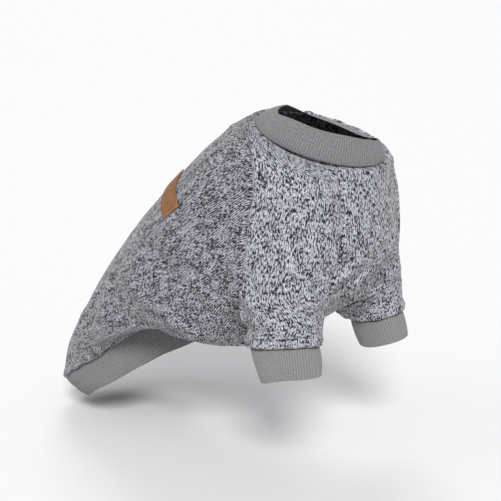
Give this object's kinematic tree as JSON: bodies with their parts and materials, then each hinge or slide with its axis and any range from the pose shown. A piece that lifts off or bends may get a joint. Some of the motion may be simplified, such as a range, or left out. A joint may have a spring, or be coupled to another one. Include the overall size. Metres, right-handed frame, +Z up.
{
  "type": "dog sweater",
  "caption": "Hollow raglan dog sweater in worn form, as on a sitting dog, of heather fleece with ribbed collar, cuffs and hem and a small leather label.",
  "frame": {"origin": "inner face of the back panel on the middle line at the withers, where the sweater hangs on its wearer", "axes": "+X forward to the wearer's chest, +Y to the wearer's left, +Z up"},
  "size_m": [0.3892, 0.2036, 0.3316],
  "materials": {
    "heather_fleece": "marled light blue-grey sweater fleece with dark flecks",
    "grey_rib": "mid-grey rib knit",
    "tan_leather": "smooth tan leather"
  },
  "bodies": {
    "root": {"back_panel_upper": "heather_fleece", "back_panel_middle": "heather_fleece", "back_panel_rear": "heather_fleece", "front_panel": "heather_fleece", "sleeve_right": "heather_fleece", "sleeve_left": "heather_fleece", "collar": "grey_rib", "cuff_right": "grey_rib", "cuff_left": "grey_rib", "hem_band": "grey_rib", "label": "tan_leather"}
  },
  "joints": []
}
